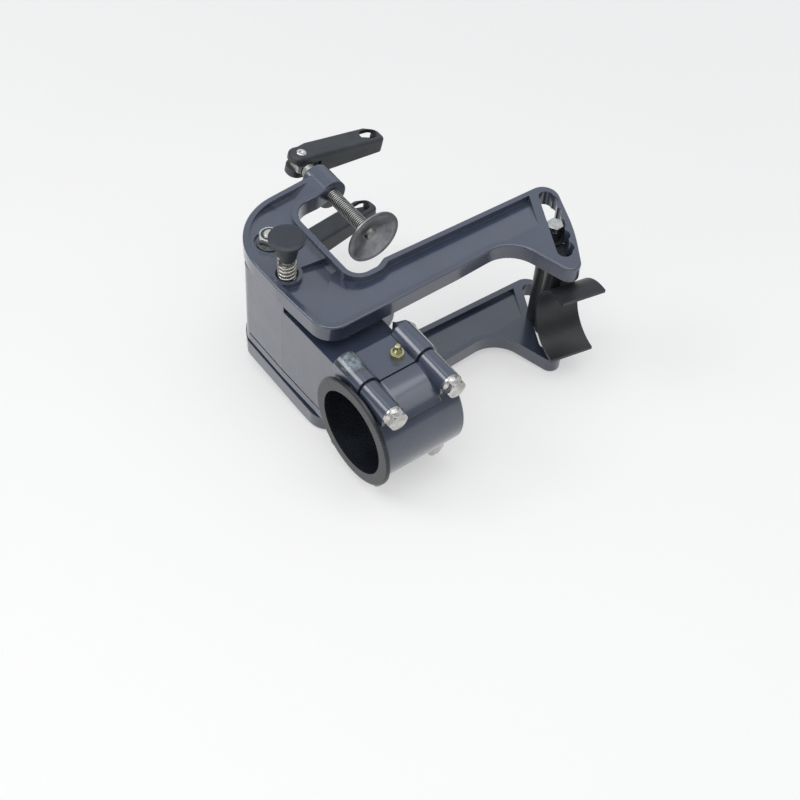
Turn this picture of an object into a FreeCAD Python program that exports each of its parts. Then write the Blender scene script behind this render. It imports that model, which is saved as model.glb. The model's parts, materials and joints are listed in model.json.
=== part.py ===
import FreeCAD, Part
import math
import os

# Swivel and clamp bracket assembly of a small outboard motor, lying on its side.
# Millimetres. The origin is the middle of the steering bore, X runs along that bore
# towards the lower end of the clamp arms, Y points inboard towards the transom
# clamps, and Z is the tilt axis. The assembly is laid on the lower clamp bracket.

Vector = FreeCAD.Vector
X_AXIS = Vector(1, 0, 0)
Y_AXIS = Vector(0, 1, 0)
Z_AXIS = Vector(0, 0, 1)
ORIGIN = Vector(0, 0, 0)

# Steering barrel, split in the plane through its axis
bore_d = 59.0
liner_wall = 2.0
barrel_wall = 3.5
barrel_length = 63.5
barrel_d = bore_d + 2 * (liner_wall + barrel_wall)
flange_rise = 3.3
liner_flange_d = barrel_d + 2 * flange_rise
liner_flange_t = 3.5
flange_lip_t = 2.3
split_gap = 1.2
liner_clearance = 0.02

# Longer than anything that a cut has to pass through
beyond = 400.0

# Clamp brackets: two mirrored castings, one above and one below the middle plane
swivel_half_height = barrel_d / 2 + 3.5
hub_gap = 1.5
bracket_gap = 2 * (swivel_half_height + hub_gap)
bracket_thickness = 12.0
rim_width = 4.3
edge_round = 1.2
outer_floor_slope = 0.19
inner_floor_slope = 0.13
head_floor_slope = 0.12
tail_floor_slope = 0.2
boss_ramp_slope = 0.35
recess_step = 1.5
arm_recess_limit = 8.8
head_recess_limit = 4.5
aft_edge_y = 39.0
head_left_x = -28.3
lower_left_x = -25.6
head_top_y = 157.1
head_top_rise = 6.2
head_radius = 46.0
tail_left_x = -24.5
tail_radius = 16.0
throat_wall_x = 18.8
throat_floor_y = 69.2
throat_radius = 10.0
hook_inner_y = 142.8
hook_radius = 14.0
hook_bend_x = 42.0
screw_boss_start_y = 146.3
forward_edge_y = 72.9
forward_edge_drop = 4.3
forward_edge_x = 44.3
arm_waist_x = 124.5
arm_end_x = 184.5
arm_end_radius = 11.0
arm_tip_x = 141.3
arm_tip_y = -14.9
arm_tip_radius = 7.3
arm_nose_x = 165.7
arm_nose_y = 22.9
inner_recess_x = 44.0
head_step_y = 97.0

# Arm-end slot with its row of trim notches
slot_x = 158.4
slot_y = 34.6
slot_angle = 63.3
slot_length = 62.0
slot_width = 10.4
notch_count = 5
notch_pitch = 11.0
notch_depth = 2.2
slot_land = 6.3

# Tilt bolt
tilt_x = -8.6
tilt_y = 126.6
tilt_bolt_d = 8.0
tilt_nut_flats = 13.0
tilt_nut_height = 7.0
tilt_washer_d = 17.0
tilt_washer_t = 1.6
tilt_bush_d = 13.0
tilt_bush_flange_d = 22.0
bolt_head_flats = 13.0
bolt_head_height = 5.3
shank_clearance = 0.15
running_clearance = 0.05

# Clamp screws
screw_x = 55.3
screw_drop = 9.0
screw_d = 10.0
screw_boss_d = 22.0
screw_boss_end_y = 167.5
screw_neck_d = 6.0
screw_head_d = 9.0
rivet_y = 185.5
eye_thickness = 5.0
eye_width = 13.0
eye_length = 9.4
pad_d = 40.0
pad_face_y = 98.1
pad_depth = 8.0
pad_wall = 2.0
pad_floor_t = 3.4
pad_hub_d = 15.0

# Folding handles on the clamp screws
upper_handle_roll = 12.0
lower_handle_roll = 0.0
lower_handle_fold = 6.0
lower_screw_advance = 3.0
handle_reach = 60.0
handle_tip = 10.0
handle_aft_width = 6.8
handle_inboard_width = 10.2
handle_end = 8.8
handle_eye_width = 8.4
handle_fold_radius = 2.4
handle_height = 16.0
handle_tip_height = 11.0
handle_wall = 3.0
handle_hole_length = 14.5
handle_hole_width = 10.2
handle_drain_share = 0.62
handle_web_start = 14.0
handle_rivet_d = 5.0
handle_rivet_head_d = 7.6
handle_rivet_head_t = 0.7

# Tilt-lock plunger on the upper bracket
plunger_x = -16.0
plunger_y = 95.0
pin_d = 8.0
pin_stroke = 10.0
plunger_boss_d = 20.0
spring_pocket_d = 15.0
spring_pocket_depth = 6.5
spring_wire_d = 1.7
spring_mean_d = 11.0
spring_turns = 5.5
knob_base = 14.0
knob_height = 20.0
knob_cap_d = 24.0
knob_cap_t = 3.5
knob_neck_d = 15.0
knob_foot_d = 12.0
roll_pin_d = 2.5

# Swivel bracket casting
swivel_left_x = -25.0
swivel_taper = 2.6
swivel_step_depth = 2.0
swivel_step_height = 4.0
swivel_deck_drop = 9.0
swivel_deck_end_y = 86.0
swivel_line_width = 1.5
swivel_line_depth = 1.6
swivel_line_end_y = 128.0
swivel_seam_y = 87.8
swivel_end_y = 138.4
swivel_right_x = 10.0
swivel_shoulder_x = 24.5
swivel_shoulder_y = 62.0
swivel_lug_x = 35.0
swivel_lug_y = 31.5
swivel_wall = 6.0
swivel_core_half_height = 24.0
pin_groove_clearance = 0.8

# Barrel cap, its bolts and its raised band
cap_bolt_near_x = -barrel_length / 2 + 11.35
cap_bolt_far_x = barrel_length / 2 - 7.45
cap_bolt_z = barrel_d / 2 + 1.8
pad_rise = 3.5
pad_low_x = cap_bolt_near_x + 6.8
pad_high_x = cap_bolt_far_x - 6.3
pad_low_z = barrel_d / 2 - 8.3
cap_bolt_d = 8.0
cap_bolt_flats = 12.4
cap_bolt_flange_d = 14.8
cap_bolt_flange_t = 1.2
cap_bolt_head_t = 5.8
cap_bolt_grip = 24.8
cap_bolt_short_grip = 12.5
cap_boss_d = 14.4
swivel_boss_d = 17.5
swivel_boss_length = 26.0
spring_washer_t = 1.8
nipple_x = 9.2
nipple_y = 10.0
nipple_flats = 8.6
nipple_stem_d = 4.9
nipple_hex_t = 3.5
nipple_height = 10.0

# Thrust saddle on the trim rod
saddle_turn = -11.2
saddle_radius = 27.5
saddle_wall = 2.5
saddle_length = 32.5
saddle_shift = -2.0
saddle_arm = 49.2
saddle_hub_d = 16.0
saddle_web_t = 9.0
saddle_boss_d = 20.0
saddle_boss_reach = 15.0
trim_rod_d = 6.0
trim_head_flats = 10.0
trim_head_t = 4.0
trim_collar_d = 10.0
flush_gap = 0.3
end_gap = 0.3

half_gap = bracket_gap / 2
outer_z = half_gap + bracket_thickness
screw_z = outer_z - screw_drop


def at(x, y, z=0.0):
    return Vector(x, y, z)


def heading(degrees):
    return Vector(math.cos(math.radians(degrees)), math.sin(math.radians(degrees)), 0)


def rounded_wire(corners, z=0.0):
    """Closed outline through corners (x, y, radius), each turned by a tangent arc."""
    count = len(corners)
    ends = []
    for i, (x, y, radius) in enumerate(corners):
        here = at(x, y, z)
        back = at(corners[i - 1][0], corners[i - 1][1], z) - here
        ahead = at(corners[(i + 1) % count][0], corners[(i + 1) % count][1], z) - here
        back.normalize()
        ahead.normalize()
        if radius <= 0:
            ends.append((here, None, here))
            continue
        half = back.getAngle(ahead) / 2
        middle = (back + ahead).normalize()
        centre = here + middle * (radius / math.sin(half))
        reach = radius / math.tan(half)
        ends.append((here + back * reach, centre - middle * radius, here + ahead * reach))
    edges = []
    for i, (start, mid, end) in enumerate(ends):
        if mid is not None:
            edges.append(Part.Arc(start, mid, end).toShape())
        following = ends[(i + 1) % count][0]
        if end.distanceToPoint(following) > 1e-6:
            edges.append(Part.LineSegment(end, following).toShape())
    return Part.Wire(edges)


def prism(wire, height):
    return Part.Face(wire).extrude(Vector(0, 0, height))


def rod(diameter, start, axis, length):
    return Part.makeCylinder(diameter / 2, length, start, axis)


def ring(outer_d, inner_d, start, axis, length):
    return rod(outer_d, start, axis, length).cut(rod(inner_d, start, axis, length))


def hexagon(flats, start, axis, length):
    """Hexagonal prism along Y or Z."""
    corner = flats / math.sqrt(3)
    turns = [math.radians(60 * i) for i in range(7)]
    points = [at(corner * math.cos(t), corner * math.sin(t)) for t in turns]
    shape = Part.Face(Part.makePolygon(points)).extrude(Vector(0, 0, length))
    shape.Placement = FreeCAD.Placement(start, FreeCAD.Rotation(Z_AXIS, axis))
    return shape


def chamfered_hexagon(flats, start, axis, length):
    """Hexagonal prism whose far end is turned down to a cone."""
    prism_shape = hexagon(flats, start, axis, length)
    corner = flats / math.sqrt(3)
    cone = Part.makeCone(corner + length, corner * 0.88, length * 2, start - axis * length, axis)
    return prism_shape.common(cone)


def revolved(profile, axis_point, axis):
    """Solid of revolution of a closed list of points."""
    wire = Part.makePolygon(profile + [profile[0]])
    return Part.Face(wire).revolve(axis_point, axis, 360)


def mirrored(shape):
    return shape.mirror(ORIGIN, Z_AXIS)


def box_between(low, high):
    size = high - low
    return Part.makeBox(size.x, size.y, size.z, low)


def bracket_corners(inset=0.0):
    """Outline of a clamp bracket: hooked head, throat and S-shaped arm."""
    front_end_y = forward_edge_y - forward_edge_drop
    hook_top_y = head_top_y + head_top_rise
    return [
        (tail_left_x, aft_edge_y - 0.4, tail_radius),
        (80.0, aft_edge_y - 0.4, 100.0),
        (arm_waist_x, aft_edge_y + 1.2, 24.0),
        (arm_tip_x, arm_tip_y, arm_tip_radius),
        (arm_nose_x, arm_nose_y, 150.0),
        (arm_end_x, front_end_y, arm_end_radius),
        (forward_edge_x, forward_edge_y, 3.0),
        (forward_edge_x - 7.3, throat_floor_y, 8.0),
        (throat_wall_x, throat_floor_y, throat_radius),
        (throat_wall_x, hook_inner_y, hook_radius),
        (hook_bend_x, hook_inner_y + 0.3, 20.0),
        (screw_x, screw_boss_start_y, 0.0),
        (screw_x, hook_top_y, 0.0),
        (head_left_x, head_top_y, head_radius),
        (head_left_x, 90.0, 80.0),
    ]


def slot_shape(length, width, offset, low, height, shift=0.0):
    """Round-ended slot along the arm-end slot's direction."""
    along = heading(slot_angle)
    across = heading(slot_angle - 90)
    middle = at(slot_x, slot_y, low) + across * offset + along * shift
    run = max(length - width, 0.0) / 2
    body = rod(width, middle - along * run, Z_AXIS, height)
    if run > 0:
        body = body.fuse(rod(width, middle + along * run, Z_AXIS, height))
        bar = Part.makeBox(2 * run, width, height, at(-run, -width / 2))
        bar.Placement = FreeCAD.Placement(middle, FreeCAD.Rotation(Z_AXIS, slot_angle))
        body = body.fuse(bar)
    return body


def arm_end_zone(low, high):
    """Everything on the far side of the wall that ends the recess beside the slot."""
    across = heading(slot_angle - 90)
    corner = at(slot_x, slot_y, low) - across * (slot_width / 2 + slot_land)
    zone = Part.makeBox(beyond, beyond, high - low, at(-beyond / 2, -beyond, 0))
    zone.Placement = FreeCAD.Placement(corner, FreeCAD.Rotation(Z_AXIS, slot_angle))
    return zone


def floor_wedge(direction, start, slope):
    """Space under the plane Z = 0 and above a floor that dips along a direction in degrees."""
    points = [at(start, 0), at(start + beyond, 0), at(start + beyond, 0, -slope * beyond)]
    wedge = Part.Face(Part.makePolygon(points + [points[0]])).extrude(Vector(0, 2 * beyond, 0))
    wedge.translate(Vector(0, -beyond, 0))
    wedge.rotate(ORIGIN, Z_AXIS, direction)
    return wedge


def outer_wedge(direction, start, slope):
    wedge = floor_wedge(direction, start, slope)
    wedge.translate(Vector(0, 0, outer_z))
    return wedge


def bracket_casting():
    """Upper clamp bracket without its plunger boss."""
    outline = rounded_wire(bracket_corners(), half_gap)
    plate = prism(outline, bracket_thickness)
    rim_edges = [e for e in plate.Edges if e.BoundBox.ZMin > outer_z - 1e-6]
    plate = plate.makeFillet(edge_round, rim_edges)

    boss_length = screw_boss_end_y - screw_boss_start_y
    boss = rod(screw_boss_d, at(screw_x, screw_boss_start_y, screw_z), Y_AXIS, boss_length)
    boss_rim = [e for e in boss.Edges if e.BoundBox.YMin > screw_boss_end_y - 1e-6]
    boss = boss.makeFillet(edge_round, boss_rim)
    plate = plate.fuse(boss)

    inner_line = Part.Face(rounded_wire(bracket_corners(), 0)).OuterWire.makeOffset2D(-rim_width)
    region = Part.Face(inner_line).extrude(Vector(0, 0, 2 * outer_z))
    end_zone = arm_end_zone(0, 2 * outer_z)
    open_region = region.cut(end_zone)
    ramp_end = screw_x - screw_boss_d / 2 - 1
    left_rim = head_left_x + rim_width

    arm_zone = box_between(at(-beyond, -beyond, outer_z - arm_recess_limit), at(beyond, head_step_y, beyond))
    arm_recess = open_region.common(arm_zone)
    arm_recess = arm_recess.common(outer_wedge(90, aft_edge_y + 1, outer_floor_slope))
    tail_start = left_rim - recess_step / tail_floor_slope
    arm_recess = arm_recess.common(outer_wedge(0, tail_start, tail_floor_slope))

    head_zone = box_between(at(-beyond, head_step_y, outer_z - head_recess_limit), at(beyond, beyond, beyond))
    head_recess = open_region.common(head_zone)
    head_recess = head_recess.common(outer_wedge(0, left_rim, head_floor_slope))
    head_recess = head_recess.common(outer_wedge(180, -ramp_end, boss_ramp_slope))
    plate = plate.cut(arm_recess).cut(head_recess)

    inner_zone = box_between(at(inner_recess_x, -beyond, -1), at(beyond, head_step_y, beyond))
    inner_wedge = mirrored(floor_wedge(90, aft_edge_y + 1, inner_floor_slope))
    inner_wedge.translate(Vector(0, 0, half_gap))
    plate = plate.cut(open_region.common(inner_zone).common(inner_wedge))

    plate = plate.cut(slot_shape(slot_length, slot_width, 0, 0, 2 * outer_z))
    for i in range(notch_count):
        shift = (i - (notch_count - 1) / 2) * notch_pitch
        plate = plate.cut(slot_shape(0, slot_width, notch_depth, 0, 2 * outer_z, shift))

    bore_start = at(screw_x, screw_boss_start_y - 5, screw_z)
    plate = plate.cut(rod(screw_d + 2 * running_clearance, bore_start, Y_AXIS, boss_length + 10))
    plate = plate.cut(rod(tilt_bolt_d + 2 * shank_clearance, at(tilt_x, tilt_y), Z_AXIS, 2 * outer_z))
    return plate


def upper_clamp_bracket():
    plate = bracket_casting()
    seat = rod(tilt_washer_d + 3, at(tilt_x, tilt_y, nut_seat_z()), Z_AXIS, bracket_thickness)
    boss = rod(plunger_boss_d, at(plunger_x, plunger_y, half_gap), Z_AXIS, plunger_boss_top() - half_gap)
    pocket = rod(spring_pocket_d, at(plunger_x, plunger_y, spring_seat_z()), Z_AXIS, bracket_thickness)
    bore = rod(pin_d + 2 * running_clearance, at(plunger_x, plunger_y), Z_AXIS, 2 * outer_z)
    return plate.cut(seat).fuse(boss).cut(pocket).cut(bore).removeSplitter()


def lower_clamp_bracket():
    plate = bracket_casting()
    pocket = hexagon(bolt_head_flats + 0.6, at(tilt_x, tilt_y, head_pocket_z()), Z_AXIS, bracket_thickness)
    trim = box_between(at(-beyond, -beyond, -beyond), at(lower_left_x, beyond, beyond))
    return mirrored(plate.cut(pocket).cut(trim).removeSplitter())


def nut_seat_z():
    return outer_z - 3.0


def head_pocket_z():
    return outer_z - bolt_head_height - 1.2


def plunger_boss_top():
    return outer_z + 1.0


def spring_seat_z():
    return plunger_boss_top() - spring_pocket_depth


def tilt_bolt():
    head = hexagon(bolt_head_flats, at(tilt_x, tilt_y, -head_pocket_z()), Vector(0, 0, -1), bolt_head_height)
    top = nut_seat_z() + tilt_washer_t + tilt_nut_height + 1.0
    shank = rod(tilt_bolt_d, at(tilt_x, tilt_y, -head_pocket_z()), Z_AXIS, top + head_pocket_z())
    tip = [e for e in shank.Edges if e.BoundBox.ZMin > top - 1e-6]
    return shank.makeChamfer(0.8, tip).fuse(head)


def tilt_nut():
    base = at(tilt_x, tilt_y, nut_seat_z() + tilt_washer_t)
    body = chamfered_hexagon(tilt_nut_flats, base, Z_AXIS, tilt_nut_height)
    return body.cut(rod(tilt_bolt_d + 2 * running_clearance, base, Z_AXIS, tilt_nut_height))


def tilt_washer():
    base = at(tilt_x, tilt_y, nut_seat_z())
    return ring(tilt_washer_d, tilt_bolt_d + 2 * shank_clearance, base, Z_AXIS, tilt_washer_t)


def upper_tilt_bush():
    """Flanged bush between the swivel casting and the upper bracket."""
    depth = 22.0
    flange_t = hub_gap - 2 * running_clearance
    base = at(tilt_x, tilt_y, swivel_half_height - depth)
    flange = rod(tilt_bush_flange_d, at(tilt_x, tilt_y, swivel_half_height), Z_AXIS, flange_t)
    sleeve = rod(tilt_bush_d, base, Z_AXIS, depth).fuse(flange)
    return sleeve.cut(rod(tilt_bolt_d + 2 * running_clearance, base, Z_AXIS, depth + flange_t))


def swivel_outline():
    return [
        (swivel_left_x, swivel_end_y, 10.0),
        (swivel_left_x, swivel_seam_y, 0.0),
        (swivel_left_x + swivel_taper, 0.0, 0.0),
        (barrel_length / 2, 0.0, 0.0),
        (barrel_length / 2, swivel_lug_y - 18.0, 4.0),
        (swivel_lug_x, swivel_lug_y - 6.0, 5.0),
        (swivel_lug_x - 3.0, swivel_lug_y, 2.0),
        (swivel_shoulder_x, swivel_lug_y + 2.0, 2.0),
        (swivel_shoulder_x, swivel_shoulder_y, 8.0),
        (swivel_right_x + 4.0, swivel_shoulder_y + 9.0, 6.0),
        (swivel_right_x, swivel_end_y, 14.0),
    ]


def swivel_relief():
    """Low deck behind the bolt bosses, a step beside the hub, and a shallow line near the lower edge."""
    deck_z = swivel_half_height - swivel_deck_drop
    deck_start = at(-beyond, swivel_boss_length, deck_z)
    deck = box_between(deck_start, at(swivel_shoulder_x, swivel_deck_end_y, beyond))
    step_z = swivel_half_height - swivel_step_height
    step_x = swivel_left_x + swivel_step_depth
    step = box_between(at(-beyond, swivel_deck_end_y - 1, step_z), at(step_x, beyond, beyond))
    line_start = at(-beyond, swivel_lug_y, -deck_z - swivel_line_width)
    line = box_between(line_start, at(swivel_left_x + swivel_line_depth, swivel_line_end_y, -deck_z))
    return deck.fuse(step).fuse(line)


def swivel_bracket():
    """Box casting from the tilt hub to its half of the steering barrel."""
    height = 2 * swivel_half_height
    box = prism(rounded_wire(swivel_outline(), -swivel_half_height), height)
    long_edges = [
        e for e in box.Edges
        if abs(e.BoundBox.ZLength) < 1e-6 and e.BoundBox.YMax > 1 and e.BoundBox.YLength > 1
    ]
    box = box.makeFillet(edge_round, long_edges)
    half = barrel_length / 2
    start_x = -half + liner_flange_t
    barrel = rod(barrel_d, at(start_x, 0), X_AXIS, barrel_length - liner_flange_t)
    keep = box_between(at(start_x, 0, -beyond), at(beyond, beyond, beyond))
    body = box.cut(swivel_relief()).fuse(barrel.common(keep))
    for x, z, grip in cap_bolt_places():
        boss = rod(swivel_boss_d, at(x, 0, z), Y_AXIS, swivel_boss_length)
        far_rim = [e for e in boss.Edges if e.BoundBox.YMin > swivel_boss_length - 1e-6]
        body = body.fuse(boss.makeFillet(edge_round, far_rim).common(keep))

    core_low_x = swivel_left_x + swivel_taper + swivel_wall
    core_start = barrel_d / 2 + swivel_wall
    core_end = tilt_y - tilt_bush_d / 2 - 2 * swivel_wall
    rib_y = (core_start + core_end) / 2
    zs = swivel_core_half_height
    core = box_between(at(core_low_x, core_start, -zs), at(beyond, core_end, zs))
    rib = box_between(at(-beyond, rib_y - swivel_wall / 2, -zs), at(beyond, rib_y + swivel_wall / 2, zs))
    body = body.cut(core.cut(rib))

    body = body.cut(liner_seat())
    bush_bore = tilt_bush_d + 2 * liner_clearance
    body = body.cut(rod(bush_bore, at(tilt_x, tilt_y, -beyond), Z_AXIS, 2 * beyond))
    body = body.cut(pin_groove())
    for x, z, grip in cap_bolt_places():
        hole = rod(cap_bolt_d + 2 * running_clearance, at(x, -1, z), Y_AXIS, swivel_boss_length - 2)
        body = body.cut(hole)
    seat = rod(nipple_stem_d + 2 * running_clearance, at(nipple_x, nipple_y), Z_AXIS, beyond)
    return body.cut(seat).removeSplitter()


def cap_bolt_places():
    """X, Z and grip below the split plane of each cap bolt; the lower two are shorter."""
    places = []
    for x in (cap_bolt_near_x, cap_bolt_far_x):
        places.append((x, cap_bolt_z, cap_bolt_grip))
        places.append((x, -cap_bolt_z, cap_bolt_short_grip))
    return places


def liner_seat():
    liner_d = bore_d + 2 * liner_wall + 2 * liner_clearance
    return rod(liner_d, at(-beyond, 0), X_AXIS, 2 * beyond)


def pin_groove():
    """Arc in the top face that the tilt-lock pin runs in as the bracket tilts."""
    offset = at(plunger_x - tilt_x, plunger_y - tilt_y)
    radius = offset.Length
    width = pin_d + 2 * pin_groove_clearance
    depth = pin_stroke + 1.0
    base = at(tilt_x, tilt_y, swivel_half_height - depth)
    start = math.degrees(math.atan2(offset.y, offset.x))
    sweep = 75.0
    outer = Part.makeCylinder(radius + width / 2, depth + 1, base, Z_AXIS, sweep)
    inner = Part.makeCylinder(radius - width / 2, depth + 1, base, Z_AXIS, sweep)
    groove = outer.cut(inner)
    groove.rotate(at(tilt_x, tilt_y), Z_AXIS, start)
    end = rod(width, at(plunger_x, plunger_y, base.z), Z_AXIS, depth + 1)
    return groove.fuse(end)


def barrel_cap():
    """Front half of the steering barrel with its raised band and bolt bosses."""
    half = barrel_length / 2
    start_x = -half + liner_flange_t
    body = rod(barrel_d, at(start_x, 0), X_AXIS, barrel_length - liner_flange_t)
    end_edges = [e for e in body.Edges if e.BoundBox.XLength < 1e-6]
    body = body.makeFillet(edge_round, end_edges)
    pad = rod(barrel_d + 2 * pad_rise, at(pad_low_x, 0), X_AXIS, pad_high_x - pad_low_x)
    pad = pad.makeFillet(pad_rise * 0.8, [e for e in pad.Edges if e.BoundBox.XLength < 1e-6])
    below = box_between(at(-beyond, -beyond, -beyond), at(beyond, beyond, pad_low_z))
    body = body.fuse(pad.cut(below))
    for x, z, grip in cap_bolt_places():
        boss = rod(cap_boss_d, at(x, -grip, z), Y_AXIS, grip)
        inner_z = math.copysign(cap_bolt_z - cap_boss_d / 2, z)
        low = at(x - cap_boss_d / 2, -grip, min(inner_z, z))
        high = at(x + cap_boss_d / 2, 0, max(inner_z, z))
        body = body.fuse(boss).fuse(box_between(low, high))
    keep = box_between(at(-beyond, -beyond, -beyond), at(beyond, -split_gap, beyond))
    body = body.common(keep).cut(liner_seat())
    for x, z, grip in cap_bolt_places():
        body = body.cut(rod(cap_bolt_d + 2 * shank_clearance, at(x, -beyond, z), Y_AXIS, 2 * beyond))
        spot_face = cap_bolt_flange_d + 2 * shank_clearance
        body = body.cut(rod(spot_face, at(x, -grip, z), Vector(0, -1, 0), beyond))
    return body.removeSplitter()


def steering_liner():
    """Flanged sleeve that the motor's leg turns in."""
    half = barrel_length / 2
    sleeve = rod(bore_d + 2 * liner_wall, at(-half, 0), X_AXIS, barrel_length)
    lip = rod(liner_flange_d, at(-half, 0), X_AXIS, flange_lip_t)
    front = [e for e in lip.Edges if e.BoundBox.XMax < -half + 1e-6]
    shoulder = rod(barrel_d + flange_rise, at(-half, 0), X_AXIS, liner_flange_t - end_gap / 3)
    shoulder = shoulder.cut(rod(barrel_d, at(-half, 0), X_AXIS, flange_lip_t / 2))
    body = sleeve.fuse(lip.makeFillet(flange_lip_t * 0.7, front)).fuse(shoulder)
    return body.cut(rod(bore_d, at(-half, 0), X_AXIS, barrel_length))


def cap_bolts():
    bolts = []
    toward = Vector(0, -1, 0)
    for x, z, grip in cap_bolt_places():
        seat = at(x, -grip - spring_washer_t, z)
        flange = Part.makeCone(
            cap_bolt_flange_d / 2, cap_bolt_flats / 2, 2 * cap_bolt_flange_t, seat, toward)
        head = chamfered_hexagon(cap_bolt_flats, seat, toward, cap_bolt_head_t)
        length = grip + spring_washer_t + swivel_boss_length - 6
        shank = rod(cap_bolt_d, seat, Y_AXIS, length)
        bolts.append(head.fuse(flange).fuse(shank))
    return Part.makeCompound(bolts)


def cap_spring_washers():
    rings = []
    for x, z, grip in cap_bolt_places():
        start = at(x, -grip - spring_washer_t, z)
        inner = cap_bolt_d + 2 * shank_clearance
        rings.append(ring(cap_boss_d - 0.4, inner, start, Y_AXIS, spring_washer_t))
    return Part.makeCompound(rings)


def grease_nipple():
    z = swivel_half_height
    base = chamfered_hexagon(nipple_flats, at(nipple_x, nipple_y, z), Z_AXIS, nipple_hex_t)
    stem = rod(nipple_stem_d, at(nipple_x, nipple_y, z - 4), Z_AXIS, 6)
    profile = [
        at(nipple_x, nipple_y, z + 2), at(nipple_x + 3.0, nipple_y, z + 2),
        at(nipple_x + 3.0, nipple_y, z + nipple_hex_t + 1.2),
        at(nipple_x + 1.7, nipple_y, z + nipple_height - 3.4),
        at(nipple_x + 2.4, nipple_y, z + nipple_height - 2.2),
        at(nipple_x + 2.1, nipple_y, z + nipple_height - 0.7),
        at(nipple_x + 1.2, nipple_y, z + nipple_height), at(nipple_x, nipple_y, z + nipple_height),
    ]
    return base.fuse(stem).fuse(revolved(profile, at(nipple_x, nipple_y), Z_AXIS))


def tilt_lock_pin():
    """Plain pin with a clip shoulder just under the bracket."""
    top = outer_z + knob_base + knob_height * 0.7
    low = half_gap + end_gap
    body = rod(pin_d, at(plunger_x, plunger_y, low), Z_AXIS, top - low)
    ends = [e for e in body.Edges if e.BoundBox.ZMax < low + 1e-6]
    body = body.makeChamfer(1.0, ends)
    return body.cut(roll_pin_solid(running_clearance))


def roll_pin_solid(extra=0.0):
    z = outer_z + knob_base + 4.5
    span = knob_foot_d + 1.2
    return rod(roll_pin_d + 2 * extra, at(plunger_x - span / 2, plunger_y, z), X_AXIS, span)


def tilt_lock_knob():
    z = outer_z + knob_base
    cap_z = z + knob_height
    profile = [
        at(plunger_x, plunger_y, z), at(plunger_x + knob_foot_d / 2 - 1, plunger_y, z),
        at(plunger_x + knob_foot_d / 2, plunger_y, z + 1.5),
        at(plunger_x + knob_neck_d / 2, plunger_y, z + knob_height * 0.45),
        at(plunger_x + knob_neck_d / 2, plunger_y, cap_z - knob_cap_t - 3),
        at(plunger_x + knob_cap_d / 2 - 0.8, plunger_y, cap_z - knob_cap_t),
        at(plunger_x + knob_cap_d / 2, plunger_y, cap_z - knob_cap_t + 0.8),
        at(plunger_x + knob_cap_d / 2, plunger_y, cap_z - 1.2),
        at(plunger_x + knob_cap_d / 2 - 2.2, plunger_y, cap_z - 0.3),
        at(plunger_x + knob_cap_d / 4, plunger_y, cap_z), at(plunger_x, plunger_y, cap_z),
    ]
    body = revolved(profile, at(plunger_x, plunger_y), Z_AXIS)
    top = outer_z + knob_base + knob_height * 0.7
    socket = rod(pin_d + 2 * liner_clearance, at(plunger_x, plunger_y, z - 1), Z_AXIS, top - z + 1)
    return body.cut(socket).cut(roll_pin_solid(running_clearance))


def tilt_lock_spring():
    """Coil spring between its pocket in the bracket and the foot of the knob."""
    low = spring_seat_z() + spring_wire_d / 2 + 0.1
    high = outer_z + knob_base - spring_wire_d / 2 - 0.1
    pitch = (high - low) / spring_turns
    path = Part.makeHelix(pitch, high - low, spring_mean_d / 2)
    section = Part.Wire(Part.makeCircle(spring_wire_d / 2, at(spring_mean_d / 2, 0), Y_AXIS))
    coil = Part.Wire(path).makePipeShell([section], True, True)
    coil.translate(at(plunger_x, plunger_y, low))
    return coil


def clamp_pad():
    """Dished swivel pad, turned about the screw's axis."""
    back = pad_face_y + pad_depth
    hub = pad_hub_d / 2
    rim = pad_d / 2
    hole = screw_neck_d / 2 + 0.2
    points = [
        (rim, pad_face_y), (rim, pad_face_y + 1.2), (hub, back - 2.6), (hub, back), (hole, back),
        (hole, back - pad_floor_t), (hub - pad_wall, back - pad_floor_t), (rim - 2.2, pad_face_y),
    ]
    return revolved([at(r, y) for r, y in points], ORIGIN, Y_AXIS)


def clamp_screw():
    """Threaded rod with a peened nose and a flattened eye for the handle."""
    seat_y = pad_face_y + pad_depth + end_gap
    neck_y = pad_face_y + pad_depth - pad_floor_t - end_gap
    shank_end_y = rivet_y - eye_length
    body = rod(screw_d, at(0, seat_y), Y_AXIS, shank_end_y - seat_y)
    body = body.fuse(rod(screw_neck_d, at(0, neck_y), Y_AXIS, seat_y - neck_y))
    nose = Part.makeCone(
        screw_head_d / 2, screw_head_d / 2 - 1.4, 1.6, at(0, neck_y), Vector(0, -1, 0))
    half = eye_thickness / 2
    flat = Part.makeBox(eye_width, eye_length, eye_thickness, at(-eye_width / 2, -eye_length, -half))
    eye = flat.fuse(rod(eye_width, at(0, 0, -half), Z_AXIS, eye_thickness))
    rise = eye_width / 2 + 1 - screw_d / 2
    shoulder = Part.makeCone(screw_d / 2, eye_width / 2 + 1, rise, at(0, -eye_length), Y_AXIS)
    blank = shoulder.fuse(rod(eye_width + 2, at(0, rise - eye_length), Y_AXIS, 3 * eye_length))
    eye = eye.common(blank)
    eye = eye.cut(rod(handle_rivet_d + 2 * liner_clearance, at(0, 0, -beyond), Z_AXIS, 2 * beyond))
    eye.translate(at(0, rivet_y))
    return body.fuse(nose).fuse(eye).removeSplitter()


def handle_outline():
    far = handle_reach + handle_tip
    return [
        (-handle_end, -handle_aft_width, handle_end * 0.7),
        (far, -handle_aft_width, handle_tip * 0.4),
        (far, handle_inboard_width / 2, handle_tip * 0.7),
        (handle_reach + handle_tip / 10, handle_inboard_width, handle_tip * 0.3),
        (handle_end, handle_inboard_width, handle_end * 0.3),
        (handle_end / 4, handle_eye_width, handle_end * 0.5),
        (-handle_end, handle_eye_width, handle_end * 0.85),
    ]


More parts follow.
